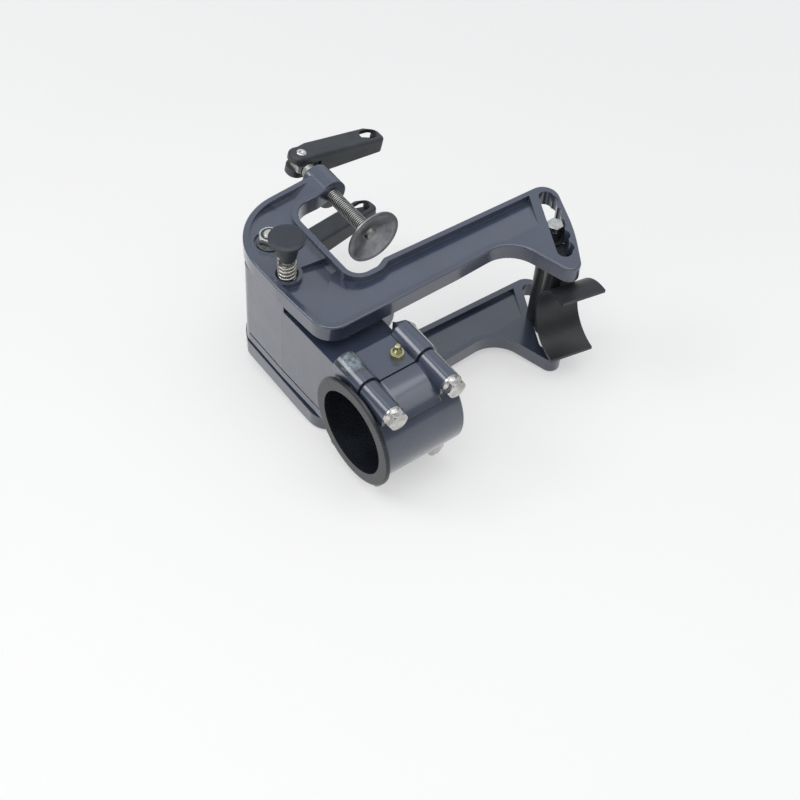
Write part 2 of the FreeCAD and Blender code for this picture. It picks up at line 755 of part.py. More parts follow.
def handle_underside(offset):
    """Everything below the sloping lower cheek, raised by an offset."""
    far = handle_reach + handle_tip
    low = -handle_height / 2 + offset
    rise = handle_height - handle_tip_height
    points = [at(handle_web_start, 0, low), at(far, 0, low + rise), at(2 * far, 0, low + rise),
              at(2 * far, 0, -beyond), at(-far, 0, -beyond), at(-far, 0, low)]
    space = Part.Face(Part.makePolygon(points + [points[0]])).extrude(Vector(0, 2 * far, 0))
    space.translate(at(0, -far))
    return space


def handle_hole(share, low_z):
    """Long hole through a cheek near the handle's tip, as a share of the upper cheek's hole."""
    width = handle_hole_width * share
    run = (handle_hole_length - handle_hole_width) * share / 2
    hole = box_between(at(-run, -width / 2, low_z), at(run, width / 2, low_z + beyond))
    for side in (-run, run):
        hole = hole.fuse(rod(width, at(side, 0, low_z), Z_AXIS, beyond))
    hole.translate(at(handle_reach, (handle_inboard_width - handle_aft_width) / 2))
    return hole


def clamp_handle():
    """Folded channel lever: two cheeks joined by a web that faces the bracket."""
    half_h = handle_height / 2
    solid = prism(rounded_wire(handle_outline(), -half_h), handle_height)
    fold = [
        e for e in solid.Edges
        if e.BoundBox.ZMin > half_h - 1e-6 and e.BoundBox.XLength > handle_reach
        and e.BoundBox.YMax < -handle_aft_width + 1e-3
    ]
    solid = solid.makeFillet(handle_fold_radius, fold)
    solid = solid.cut(handle_underside(0.0))

    far = handle_reach + handle_tip
    low = at(handle_web_start, handle_wall - handle_aft_width, -half_h)
    hollow = box_between(low, at(far - handle_wall, far, half_h - handle_wall))
    solid = solid.cut(hollow.cut(handle_underside(handle_wall)))
    throat_half = eye_thickness / 2 + 4 * running_clearance
    solid = solid.cut(box_between(at(-far, -far, -throat_half), at(handle_web_start, far, throat_half)))

    solid = solid.cut(handle_hole(1.0, 0.0)).cut(handle_hole(handle_drain_share, -beyond))
    rivet_hole = rod(handle_rivet_d + 2 * running_clearance, at(0, 0, -beyond), Z_AXIS, 2 * beyond)
    return solid.cut(rivet_hole)


def handle_rivet():
    """Rivet through both cheeks and the screw's eye."""
    seat = handle_height / 2 + 0.05
    shank = rod(handle_rivet_d, at(0, 0, -seat), Z_AXIS, 2 * seat)
    head = Part.makeCone(
        handle_rivet_head_d / 2, handle_rivet_head_d / 2 - 0.6, handle_rivet_head_t,
        at(0, 0, seat), Z_AXIS)
    top = seat + handle_rivet_head_t
    dimple = Part.makeCone(0.8, 1.6, 1.0, at(0, 0, top - 1.0), Z_AXIS)
    return shank.fuse(head).fuse(mirrored(head)).cut(dimple).cut(mirrored(dimple))


def clamp_set(side, roll, fold, advance):
    """Screw, pad, handle and rivet of one clamp: side is 1 above and -1 below."""
    turn = FreeCAD.Rotation(Y_AXIS, roll)
    on_axis = FreeCAD.Placement(at(screw_x, -advance, side * screw_z), turn)
    at_rivet = FreeCAD.Placement(at(screw_x, rivet_y - advance, side * screw_z), turn)
    folded = at_rivet.multiply(FreeCAD.Placement(ORIGIN, FreeCAD.Rotation(Z_AXIS, fold)))
    return {
        "clamp_screw": placed(clamp_screw(), on_axis),
        "clamp_pad": placed(clamp_pad(), on_axis),
        "clamp_handle": placed(clamp_handle(), folded),
        "handle_rivet": placed(handle_rivet(), folded),
    }


def placed(shape, placement):
    result = shape.copy()
    result.Placement = placement.multiply(shape.Placement)
    return result


def trim_rod():
    """Long bolt across both arm-end slots, its head flush in the upper slot."""
    head_z = outer_z - flush_gap - trim_head_t
    head = hexagon(trim_head_flats, at(0, 0), Z_AXIS, trim_head_t)
    head.rotate(ORIGIN, Z_AXIS, slot_angle)
    head.translate(at(slot_x, slot_y, head_z))
    low = -outer_z + flush_gap
    return head.fuse(rod(trim_rod_d, at(slot_x, slot_y, low), Z_AXIS, head_z - low + 1))


def trim_rod_nut():
    nut_t = trim_head_t + 1
    nut = hexagon(trim_head_flats, at(0, 0), Z_AXIS, nut_t)
    nut = nut.cut(rod(trim_rod_d + 2 * running_clearance, at(0, 0), Z_AXIS, nut_t))
    nut.rotate(ORIGIN, Z_AXIS, slot_angle)
    nut.translate(at(slot_x, slot_y, -outer_z + flush_gap))
    return nut


def trim_rod_collars():
    """Spacer collars that fill the slots between the hub and the head or nut."""
    inner = trim_rod_d + 2 * running_clearance
    low = half_gap - end_gap / 2
    upper_t = outer_z - flush_gap - trim_head_t - 0.1 - low
    upper = ring(trim_collar_d, inner, at(slot_x, slot_y, low), Z_AXIS, upper_t)
    lower_t = upper_t - 1
    lower = ring(trim_collar_d, inner, at(slot_x, slot_y, -low - lower_t), Z_AXIS, lower_t)
    return Part.makeCompound([upper, lower])


def thrust_saddle():
    """Half-round rest for the motor's leg, moulded with its hub."""
    outer = saddle_radius + saddle_wall
    half = saddle_length / 2
    start = saddle_shift - half
    tube = rod(2 * outer, at(start, -saddle_arm), X_AXIS, saddle_length)
    web_half = outer * 0.7
    web = box_between(at(-saddle_web_t / 2, -saddle_arm, -web_half), at(saddle_web_t / 2, 0, web_half))
    hub_half = half_gap - end_gap
    hub = rod(saddle_hub_d, at(0, 0, -hub_half), Z_AXIS, 2 * hub_half)
    boss_half = hub_half - saddle_wall
    boss = rod(saddle_boss_d, at(0, -saddle_boss_reach, -boss_half), Z_AXIS, 2 * boss_half)
    body = tube.fuse(web).fuse(hub).fuse(boss)
    body = body.cut(rod(2 * saddle_radius, at(-beyond, -saddle_arm), X_AXIS, 2 * beyond))
    body = body.cut(box_between(at(-beyond, -beyond, -beyond), at(beyond, -saddle_arm, beyond)))
    body = body.cut(rod(trim_rod_d + 2 * running_clearance, at(0, 0, -beyond), Z_AXIS, 2 * beyond))
    body = body.removeSplitter()
    body.rotate(ORIGIN, Z_AXIS, saddle_turn)
    body.translate(at(slot_x, slot_y))
    return body


def all_nodes():
    nodes = {
        "upper_clamp_bracket": upper_clamp_bracket(),
        "lower_clamp_bracket": lower_clamp_bracket(),
        "tilt_bolt": tilt_bolt(),
        "tilt_bolt_nut": tilt_nut(),
        "tilt_bolt_washer": tilt_washer(),
        "upper_tilt_bush": upper_tilt_bush(),
        "lower_tilt_bush": mirrored(upper_tilt_bush()),
        "swivel_bracket": swivel_bracket(),
        "barrel_cap": barrel_cap(),
        "steering_liner": steering_liner(),
        "cap_bolts": cap_bolts(),
        "cap_spring_washers": cap_spring_washers(),
        "grease_nipple": grease_nipple(),
        "tilt_lock_pin": tilt_lock_pin(),
        "tilt_lock_knob": tilt_lock_knob(),
        "tilt_lock_spring": tilt_lock_spring(),
        "knob_roll_pin": roll_pin_solid(),
        "trim_rod": trim_rod(),
        "trim_rod_nut": trim_rod_nut(),
        "trim_rod_collars": trim_rod_collars(),
        "thrust_saddle": thrust_saddle(),
    }
    upper = clamp_set(1, upper_handle_roll, 0.0, 0.0)
    lower = clamp_set(-1, lower_handle_roll, lower_handle_fold, lower_screw_advance)
    for name in upper:
        nodes["upper_" + name] = upper[name]
        nodes["lower_" + name] = lower[name]
    return nodes


def main():
    os.makedirs("parts", exist_ok=True)
    for name, shape in all_nodes().items():
        print(name, "solids", len(shape.Solids), "valid", shape.isValid(), "volume", round(shape.Volume, 1))
        shape.exportStep("parts/" + name + ".step")


main()
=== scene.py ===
import bpy
import bmesh
import json
import math
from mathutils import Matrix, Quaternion, Vector

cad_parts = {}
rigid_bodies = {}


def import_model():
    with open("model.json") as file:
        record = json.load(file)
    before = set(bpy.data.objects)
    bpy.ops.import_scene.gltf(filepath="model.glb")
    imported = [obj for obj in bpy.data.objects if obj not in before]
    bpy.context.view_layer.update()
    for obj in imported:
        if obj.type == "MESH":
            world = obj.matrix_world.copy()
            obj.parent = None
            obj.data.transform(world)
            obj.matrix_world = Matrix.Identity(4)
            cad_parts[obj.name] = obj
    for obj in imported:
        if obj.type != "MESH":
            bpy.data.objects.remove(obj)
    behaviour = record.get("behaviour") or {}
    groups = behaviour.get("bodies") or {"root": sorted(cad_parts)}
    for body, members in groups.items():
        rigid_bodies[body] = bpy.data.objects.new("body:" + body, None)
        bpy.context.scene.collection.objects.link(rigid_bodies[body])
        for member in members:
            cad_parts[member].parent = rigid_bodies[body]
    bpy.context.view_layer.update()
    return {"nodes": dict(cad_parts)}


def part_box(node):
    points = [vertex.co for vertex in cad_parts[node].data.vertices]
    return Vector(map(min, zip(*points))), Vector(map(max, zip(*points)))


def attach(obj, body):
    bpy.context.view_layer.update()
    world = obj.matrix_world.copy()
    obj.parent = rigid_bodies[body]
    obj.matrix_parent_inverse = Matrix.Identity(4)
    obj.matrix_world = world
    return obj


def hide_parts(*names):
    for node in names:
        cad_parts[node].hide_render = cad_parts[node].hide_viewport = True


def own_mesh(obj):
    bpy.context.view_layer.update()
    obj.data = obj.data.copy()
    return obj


# Looks of the outboard swivel bracket. Metres, in the frame of the solids: origin in the middle of
# the steering bore, X along the bore, Z along the tilt bolt. Colours are linear RGB.

# Taken over from the solids
SCREW_X = 0.0553
SCREW_Z = 0.043
SCREW_RADIUS = 0.005
PAD_BACK_Y = 0.1061
EYE_START_Y = 0.1761
LOWER_ADVANCE = 0.003  # the lower screw is fed in this much further than the upper one
TILT_AXIS = (-0.0086, 0.1266)

# Thread of the clamp screws
THREAD_PITCH = 0.0015
THREAD_DEPTH = 0.00085
THREAD_TAPER = 0.001
THREAD_TO_PAD = 0.0003
STEPS_PER_TURN = 24
# Share of the pitch, and share of the depth that is cut there
THREAD_PROFILE = ((0.0, 0.0), (0.18, 0.0), (0.42, 1.0), (0.58, 1.0), (0.82, 0.0), (1.0, 0.0))
ROOT_SHARE = 0.3  # deeper than this share of the depth counts as root
MERGE_DISTANCE = 1e-7
# How far a vertex may be off the plain shank that the thread replaces
SHANK_END_SLACK = 1e-5
SHANK_RADIUS_SLACK = 6e-5

# Nylon ring of the tilt bolt's lock nut
NYLON_INNER = 0.00405
NYLON_OUTER = 0.0056
NYLON_SUNK = 0.0004
NYLON_PROUD = 0.0002
RING_EASE = 0.0003
RING_STEPS = 48

SHARP_ANGLE = math.radians(38)

# Widths of worn edges, and radii that edges are shaded with
PAINT_EDGE_WIDTH, PAINT_ROUNDING = 0.0011, 0.0009
METAL_EDGE_WIDTH, METAL_ROUNDING = 0.0004, 0.0004
PLASTIC_EDGE_WIDTH, PLASTIC_ROUNDING = 0.0006, 0.0005

# Paint
PAINT_DARK = (0.034, 0.045, 0.077)
PAINT_LIGHT = (0.047, 0.060, 0.098)
PAINT_FLECK = (0.10, 0.118, 0.17)
PAINT_EDGE = (0.17, 0.19, 0.23)
PAINT_DUST = (0.12, 0.13, 0.15)
SEAM_Y = 0.0878
SEAM_END_X = -0.02
SEAM_HALF_WIDTH = 0.0004
SEAM_COLOUR = (0.015, 0.018, 0.028)
# Worn patches: middle, radius and colour of the bare metal
BOSS_PATCH = ((-0.0205, 0.017, 0.0450), 0.011, (0.17, 0.21, 0.24))
CORNER_PATCH = ((-0.0280, 0.0060, 0.0290), 0.010, (0.30, 0.32, 0.34))
PATCH_RIM = (0.014, 0.024, 0.030)
PATCH_RAGGED = 1.3
PATCH_SHRINK = 0.75
PATCH_DEPTH = 1.5

# Metals and plastics
# Painted shade in the thread roots of the clamp screws
ROOT_SHADE_COLOUR = (0.05, 0.05, 0.048)
LATHE_RINGS = 9000.0  # radians per metre
LATHE_BANDS = 1500.0  # per metre
PAD_LIGHT = (0.34, 0.345, 0.36)
PAD_DARK = (0.15, 0.155, 0.165)
LINER_SCUFF = (-0.0318, 0.0310, 0.0045)
SCUFF_RADIUS = 0.013
SCUFF_RAGGED = 2.4
SCUFF_COLOUR = (0.20, 0.21, 0.22)

# Camera, fitted to the photo
LENS_MM = 66.458
SENSOR_MM = 36
CLIP_START, CLIP_END = 0.05, 30
CAMERA_PLACE = (-0.37835, -0.44646, 0.74057)
CAMERA_TOWARDS = (0.40855, 0.47414, -0.77992)
CAMERA_ROLL = math.radians(5.148)

# Floor: it touches the lower pad's rim, the aft corner and the arm tip of the lower bracket
REST_POINTS = ((0.0553, 0.0951, -0.063), (-0.0200, 0.0430, -0.052), (0.1450, -0.003, -0.052))
FLOOR_SIZE = 12
FLOOR_COLOUR = (0.475, 0.47, 0.465, 1)
FLOOR_ROUGHNESS = 0.7
GLOW_COLOUR = (1.0, 1.0, 1.0, 1)
GLOW_NEAR = (0.4, 0.475)  # distance from the middle, strength
GLOW_FAR = (2.5, 0.70)

# Sky: a large soft box up at the back, and a dim room round it
SKY_COLOUR = (0.90, 0.95, 1.0, 1)
SKY_DIFFUSE = 0.36
SKY_SHOWN = 0.93
BOX_TOWARDS = (0.41, 0.47, 0.78)
BOX_EDGE = (0.55, 0.90)  # cosine where the box starts, and where it has its full strength
BOX_STRENGTH = (0.34, 0.86)

# Lamps: name, place, side of the square, watts
LAMP_TARGET = (0.05, 0.05, 0.0)
LAMPS = (
    ("top", (-0.10, -0.10, 1.35), 1.3, 10.5),
    ("overhead", (0.54, -0.53, 0.94), 0.5, 1.0),
    ("back_left", (-0.85, 0.85, 1.05), 0.6, 5),
    ("left", (-1.30, -0.10, 0.40), 0.9, 4),
)

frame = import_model()
nodes = frame["nodes"]


# Shader nodes

class Graph:
    """Short helper that adds nodes to one node tree and joins them."""

    def __init__(self, tree):
        self.tree = tree

    def add(self, kind, **settings):
        node = self.tree.nodes.new(kind)
        for key, value in settings.items():
            setattr(node, key, value)
        return node

    def put(self, value, socket):
        """Join an output to a socket, or set the socket to a plain value."""
        if isinstance(value, bpy.types.NodeSocket):
            self.tree.links.new(value, socket)
        else:
            socket.default_value = value

    def math(self, operation, a, b=0.0, c=0.0):
        node = self.add("ShaderNodeMath", operation=operation)
        for value, socket in zip((a, b, c), node.inputs):
            self.put(value, socket)
        return node.outputs[0]

    def vector(self, operation, a, b=(0.0, 0.0, 0.0)):
        """Vector maths. Returns the node's outputs, Vector and Value."""
        node = self.add("ShaderNodeVectorMath", operation=operation)
        self.put(a, node.inputs[0])
        self.put(b, node.inputs[1])
        return node.outputs

    def axes(self, vector):
        node = self.add("ShaderNodeSeparateXYZ")
        self.put(vector, node.inputs[0])
        return [node.outputs[axis] for axis in "XYZ"]

    def hypotenuse(self, a, b):
        squares = self.math("ADD", self.math("POWER", a, 2.0), self.math("POWER", b, 2.0))
        return self.math("SQRT", squares)

    def remap(self, value, from_low, from_high, to_low, to_high, kind="LINEAR"):
        """Move a value from one range to another, held at the ends."""
        node = self.add("ShaderNodeMapRange", interpolation_type=kind)
        parts = {
            "Value": value, "From Min": from_low, "From Max": from_high,
            "To Min": to_low, "To Max": to_high,
        }
        for name, part in parts.items():
            self.put(part, node.inputs[name])
        return node.outputs[0]


class Surface(Graph):
    """The nodes of one material round its Principled shader."""

    def __init__(self, name):
        self.material = bpy.data.materials.new(name)
        self.material.use_nodes = True
        super().__init__(self.material.node_tree)
        self.shader = self.tree.nodes["Principled BSDF"]
        self.place = self.add("ShaderNodeTexCoord").outputs["Object"]

    def set(self, **values):
        for key, value in values.items():
            self.put(value, self.shader.inputs[key.replace("_", " ")])

    def noise(self, scale, detail=3.0, rough=0.5, place=None, warp=0.0):
        node = self.add("ShaderNodeTexNoise")
        self.put(place or self.place, node.inputs["Vector"])
        node.inputs["Scale"].default_value = scale
        node.inputs["Detail"].default_value = detail
        node.inputs["Roughness"].default_value = rough
        node.inputs["Distortion"].default_value = warp
        return node.outputs["Fac"]

    def stretched(self, x, y, z):
        node = self.add("ShaderNodeMapping")
        self.put(self.place, node.inputs["Vector"])
        node.inputs["Scale"].default_value = (x, y, z)
        return node.outputs["Vector"]

    def ramp(self, value, *stops):
        """Colours or greys at positions along 0 to 1."""
        node = self.add("ShaderNodeValToRGB")
        self.put(value, node.inputs["Fac"])
        elements = node.color_ramp.elements
        while len(elements) < len(stops):
            elements.new(0.5)
        for element, (position, colour) in zip(elements, stops):
            if not isinstance(colour, tuple):
                colour = (colour, colour, colour)
            element.position = position
            element.color = (*colour, 1.0)
        return node.outputs["Color"]

    def mix(self, factor, a, b):
        node = self.add("ShaderNodeMix", data_type="RGBA")
        self.put(factor, node.inputs["Factor"])
        for value, socket in ((a, node.inputs[6]), (b, node.inputs[7])):
            if isinstance(value, tuple):
                value = (*value, 1.0)
            self.put(value, socket)
        return node.outputs[2]

    def rounded(self, radius, samples):
        """Surface normal, rounded over the edges."""
        bevel = self.add("ShaderNodeBevel", samples=samples)
        bevel.inputs["Radius"].default_value = radius
        return bevel.outputs["Normal"]

    def edge(self, radius):
        """0 on flat faces, rising to 1 along worn edges."""
        plain = self.add("ShaderNodeNewGeometry").outputs["Normal"]
        same = self.vector("DOT_PRODUCT", self.rounded(radius, 4), plain)["Value"]
        return self.math("SUBTRACT", 1.0, same)

    def near(self, point, radius):
        """1 at a point, fading to 0 at a radius from it."""
        away = self.vector("DISTANCE", self.place, point)["Value"]
        return self.math("SUBTRACT", 1.0, self.math("DIVIDE", away, radius))

    def bump(self, height, distance, strength, rounding):
        node = self.add("ShaderNodeBump")
        self.put(height, node.inputs["Height"])
        node.inputs["Distance"].default_value = distance
        node.inputs["Strength"].default_value = strength
        if rounding:
            self.put(self.rounded(rounding, 6), node.inputs["Normal"])
        self.put(node.outputs["Normal"], self.shader.inputs["Normal"])


def scaled(colour, share):
    return tuple(share * part for part in colour)


# Materials

def seam_line(m):
    """1 on a fine line across the casting's left side, else 0."""
    x, y, _ = m.axes(m.place)
    off = m.math("ABSOLUTE", m.math("SUBTRACT", y, SEAM_Y))
    line = m.math("LESS_THAN", off, SEAM_HALF_WIDTH)
    return m.math("MULTIPLY", line, m.math("LESS_THAN", x, SEAM_END_X))


def worn_patch(m, patch, colour, rough, height):
    """Paint worn through to bare metal round a point, with a dark rim."""
    point, radius, metal = patch
    ragged = m.noise(260, detail=4, rough=0.6, warp=0.8)
    shape = m.math("MULTIPLY_ADD", ragged, PATCH_RAGGED, m.near(point, radius))
    shape = m.math("SUBTRACT", shape, PATCH_SHRINK)
    rim = m.ramp(shape, (0.02, 0.0), (0.10, 0.85), (0.22, 0.85), (0.34, 0.0))
    worn = m.ramp(shape, (0.20, 0.0), (0.42, 0.9))
    streaks = m.noise(380, detail=4, rough=0.65)
    bare = m.ramp(streaks, (0.38, scaled(metal, 0.35)), (0.62, scaled(metal, 1.3)))
    colour = m.mix(rim, colour, PATCH_RIM)
    colour = m.mix(worn, colour, bare)
    rough = m.mix(worn, rough, (0.5, 0.5, 0.5))
    height = m.math("MULTIPLY_ADD", worn, -PATCH_DEPTH, height)
    return colour, rough, height


def cast_paint(name, patches=(), seam=False):
    """Glossy marine paint over cast aluminium, scuffed where it has been worked on."""
    m = Surface(name)
    cloud = m.noise(22, rough=0.55)
    colour = m.ramp(cloud, (0.3, PAINT_DARK), (0.7, PAINT_LIGHT))
    fleck = m.noise(3200, detail=1, rough=0.6)
    colour = m.mix(m.ramp(fleck, (0.60, 0.0), (0.80, 0.30)), colour, PAINT_FLECK)
    broken = m.ramp(m.noise(190, detail=4, rough=0.7), (0.42, 0.15), (0.66, 1.0))
    edge = m.math("MULTIPLY", m.edge(PAINT_EDGE_WIDTH), broken)
    colour = m.mix(m.ramp(edge, (0.05, 0.0), (0.45, 0.55)), colour, PAINT_EDGE)
    dust = m.noise(95, detail=6, rough=0.75, warp=0.6)
    colour = m.mix(m.ramp(dust, (0.60, 0.0), (0.80, 0.22)), colour, PAINT_DUST)
    if seam:
        colour = m.mix(seam_line(m), colour, SEAM_COLOUR)
    rough = m.ramp(m.noise(60, rough=0.6), (0.3, 0.25), (0.7, 0.36))
    height = m.noise(420, detail=2)
    for patch in patches:
        colour, rough, height = worn_patch(m, patch, colour, rough, height)
    m.set(Base_Color=colour, Roughness=rough, Metallic=0.08)
    m.set(Coat_Weight=0.9, Coat_Roughness=0.14, Coat_IOR=1.62)
    m.bump(height, distance=0.00010, strength=0.25, rounding=PAINT_ROUNDING)
    return m.material


def thread_root_shade(m):
    """Mask of the painted shade: 1 in the thread roots of both clamp screws, else 0."""
    x, y, z = m.axes(m.place)
    across = m.math("SUBTRACT", x, SCREW_X)
    up = m.math("SUBTRACT", m.math("ABSOLUTE", z), SCREW_Z)
    root_radius = SCREW_RADIUS - ROOT_SHARE * THREAD_DEPTH
    deep = m.math("LESS_THAN", m.hypotenuse(across, up), root_radius)
    past_pad = m.math("GREATER_THAN", y, PAD_BACK_Y - LOWER_ADVANCE)
    short_of_eye = m.math("LESS_THAN", y, EYE_START_Y - LOWER_ADVANCE)
    return m.math("MULTIPLY", deep, m.math("MULTIPLY", past_pad, short_of_eye))


def plated(name, light, dark, rough=(0.22, 0.38), rounding=METAL_ROUNDING, threaded=False):
    """Zinc plate or bare steel with fine tool marks and slight tarnish, and painted shade in the
    thread roots when threaded.
    """
    m = Surface(name)
    marks = m.noise(900, rough=0.6)
    stain = m.noise(110, detail=4, rough=0.65)
    colour = m.mix(m.ramp(stain, (0.35, 0.0), (0.75, 1.0)), light, dark)
    colour = m.mix(m.ramp(marks, (0.3, 0.0), (0.8, 0.5)), colour, dark)
    edge = m.ramp(m.edge(METAL_EDGE_WIDTH), (0.1, 0.0), (0.6, 0.5))
    colour = m.mix(edge, colour, light)
    # Threaded screws get painted shade in their thread roots
    if threaded:
        colour = m.mix(thread_root_shade(m), colour, ROOT_SHADE_COLOUR)
    shine = m.ramp(marks, (0.3, rough[0]), (0.8, rough[1]))
    m.set(Base_Color=colour, Metallic=1.0, Roughness=shine)
    m.bump(marks, distance=0.00006, strength=0.4, rounding=rounding)
    return m.material


def turned(name, centre):
    """Steel turned on a lathe: fine rings round a line along Y, and faint radial wear."""
    m = Surface(name)
    x, _, z = m.axes(m.vector("SUBTRACT", m.place, centre)["Vector"])
    radius = m.hypotenuse(x, z)
    rings = m.math("SINE", m.math("MULTIPLY", radius, LATHE_RINGS))
    outwards = m.add("ShaderNodeCombineXYZ")
    m.put(m.math("MULTIPLY", radius, LATHE_BANDS), outwards.inputs[0])
    bands = m.noise(1.0, rough=0.6, place=outwards.outputs[0])
    stain = m.noise(140, detail=4, rough=0.65)
    colour = m.mix(m.ramp(stain, (0.35, 0.0), (0.72, 0.8)), PAD_LIGHT, PAD_DARK)
    colour = m.mix(m.ramp(bands, (0.35, 0.0), (0.75, 0.55)), colour, PAD_DARK)
    shine = m.ramp(bands, (0.3, 0.26), (0.7, 0.40))
    m.set(Base_Color=colour, Metallic=1.0, Roughness=shine)
    height = m.math("MULTIPLY_ADD", rings, 0.4, bands)
    m.bump(height, distance=0.00005, strength=0.5, rounding=METAL_ROUNDING)
    return m.material


def moulded(name, colour, lift, rough=(0.38, 0.52), grain=1400, scuff=None):
    """Moulded plastic or a coated pressing, scuffed along its edges and round one point."""
    m = Surface(name)
    cloud = m.noise(70, detail=4, rough=0.6)
    base = m.mix(m.ramp(cloud, (0.35, 0.0), (0.75, 1.0)), colour, lift)
    scratch = m.noise(220, detail=6, rough=0.8, place=m.stretched(1, 6, 2), warp=0.8)
    base = m.mix(m.ramp(scratch, (0.68, 0.0), (0.76, 0.5)), base, scaled(lift, 1.7))
    edge = m.math("MULTIPLY", m.edge(PLASTIC_EDGE_WIDTH), m.noise(260, rough=0.7))
    base = m.mix(m.ramp(edge, (0.06, 0.0), (0.4, 0.6)), base, scaled(lift, 2.2))
    if scuff:
        ragged = m.noise(700, detail=5, rough=0.75, warp=0.4)
        shape = m.math("MULTIPLY_ADD", ragged, SCUFF_RAGGED, m.near(scuff, SCUFF_RADIUS))
        base = m.mix(m.ramp(shape, (1.45, 0.0), (2.05, 0.75)), base, SCUFF_COLOUR)
    skin = m.noise(grain, rough=0.55)
    m.set(Base_Color=base, Roughness=m.ramp(skin, (0.3, rough[0]), (0.7, rough[1])))
    m.bump(skin, distance=0.00006, strength=0.4, rounding=PLASTIC_ROUNDING)
    return m.material


paint = cast_paint("casting_paint")
swivel_paint = cast_paint("swivel_paint", [BOSS_PATCH, CORNER_PATCH], seam=True)
zinc = plated("zinc_steel", (0.80, 0.80, 0.77), (0.46, 0.45, 0.41))
bolt_zinc = plated("bolt_zinc", (0.78, 0.77, 0.75), (0.26, 0.25, 0.23), rough=(0.18, 0.34))
# Zinc coloured dark as painted shade, for the tilt bolt's washer under its nut
washer_shade_zinc = plated("shade_dark_zinc", (0.20, 0.21, 0.22), (0.09, 0.095, 0.10), rough=(0.35, 0.5))
spring_wire = plated(
    "spring_steel", (0.66, 0.64, 0.60), (0.30, 0.28, 0.25), rough=(0.2, 0.34), rounding=0)
screw_steel = plated(
    "screw_steel", (0.50, 0.50, 0.48), (0.24, 0.24, 0.22),
    rough=(0.3, 0.44), rounding=0, threaded=True)
brass = plated("nipple_passivated", (0.66, 0.64, 0.40), (0.36, 0.35, 0.18), rough=(0.22, 0.34))
upper_pad_steel = turned("pad_steel", (SCREW_X, 0, SCREW_Z))
lower_pad_steel = turned("pad_steel_low", (SCREW_X, 0, -SCREW_Z))
liner = moulded(
    "liner_plastic", (0.010, 0.012, 0.016), (0.020, 0.024, 0.031),
    rough=(0.18, 0.34), scuff=LINER_SCUFF)
bush = moulded("bush_plastic", (0.022, 0.022, 0.025), (0.034, 0.034, 0.038))
knob = moulded("knob_plastic", (0.020, 0.024, 0.033), (0.032, 0.036, 0.047), rough=(0.42, 0.55))
handle = moulded(
    "handle_black", (0.027, 0.030, 0.036), (0.043, 0.047, 0.055), rough=(0.34, 0.48), grain=800)
saddle = moulded(
    "saddle_plastic", (0.016, 0.018, 0.021), (0.028, 0.030, 0.034), rough=(0.32, 0.46))

by_node = {
    "upper_clamp_bracket": paint, "lower_clamp_bracket": paint, "barrel_cap": paint,
    "swivel_bracket": swivel_paint, "steering_liner": liner,
    "tilt_bolt": zinc, "tilt_bolt_nut": zinc, "tilt_bolt_washer": washer_shade_zinc,
    "upper_tilt_bush": bush, "lower_tilt_bush": bush,
    "cap_bolts": bolt_zinc, "cap_spring_washers": bolt_zinc, "grease_nipple": brass,
    "tilt_lock_pin": zinc, "tilt_lock_knob": knob, "tilt_lock_spring": spring_wire,
    "knob_roll_pin": zinc,
    "upper_clamp_screw": screw_steel, "lower_clamp_screw": screw_steel,
    "upper_clamp_pad": upper_pad_steel, "lower_clamp_pad": lower_pad_steel,
    "upper_clamp_handle": handle, "lower_clamp_handle": handle,
    "upper_handle_rivet": zinc, "lower_handle_rivet": zinc,
    "trim_rod": bolt_zinc, "trim_rod_nut": bolt_zinc, "trim_rod_collars": bush,
    "thrust_saddle": saddle,
}
for name, material in by_node.items():
    data = nodes[name].data
    data.materials.clear()
    data.materials.append(material)


# Pieces

def new_piece(name, mesh, body, material):
    piece = bpy.data.objects.new(name, mesh)
    bpy.context.scene.collection.objects.link(piece)
    mesh.materials.clear()
    mesh.materials.append(material)
    for face in mesh.polygons:
        face.use_smooth = True
    mesh.set_sharp_from_angle(angle=SHARP_ANGLE)
    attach(piece, body)
    return piece


def to_data(name, mesh):
    """Write a bmesh to new mesh data and free it."""
    data = bpy.data.meshes.new(name)
    mesh.to_mesh(data)
    mesh.free()
    return data


def thread_mesh(name, centre, start, end):
    """Rolled screw thread round a line along Y, with flat crests, flanks and flat roots."""
    turns = (end - start) / THREAD_PITCH
    mesh = bmesh.new()
    rows = []
    for i in range(int(turns * STEPS_PER_TURN) + 1):
        angle = math.tau * i / STEPS_PER_TURN
        row = []
        for along, cut in THREAD_PROFILE:
            y = start + THREAD_PITCH * (i / STEPS_PER_TURN + along - 1.0)
            y = min(max(y, start), end)
            fade = min(1.0, (y - start) / THREAD_TAPER, (end - y) / THREAD_TAPER)
            radius = SCREW_RADIUS - THREAD_DEPTH * cut * max(fade, 0.0)
            place = Vector((radius * math.sin(angle), y, radius * math.cos(angle)))
            row.append(mesh.verts.new(place + Vector(centre)))
        rows.append(row)
    for row, following in zip(rows, rows[1:]):
        for k in range(len(row) - 1):
            mesh.faces.new((row[k], following[k], following[k + 1], row[k + 1]))
    bmesh.ops.remove_doubles(mesh, verts=mesh.verts, dist=MERGE_DISTANCE)
    bmesh.ops.recalc_face_normals(mesh, faces=mesh.faces)
    return to_data(name, mesh)


def without_shank(node, centre, start, end):
    """Copy of a screw's mesh without the plain shank, where the thread goes."""
    mesh = bmesh.new()
    mesh.from_mesh(nodes[node].data)

    def on_shank(vertex):
        x, y, z = vertex.co
        off = math.hypot(x - centre[0], z - centre[2]) - SCREW_RADIUS
        inside = start - SHANK_END_SLACK < y < end + SHANK_END_SLACK
        return inside and abs(off) < SHANK_RADIUS_SLACK

    shank = [face for face in mesh.faces if all(on_shank(v) for v in face.verts)]
    bmesh.ops.delete(mesh, geom=shank, context="FACES")
    return mesh


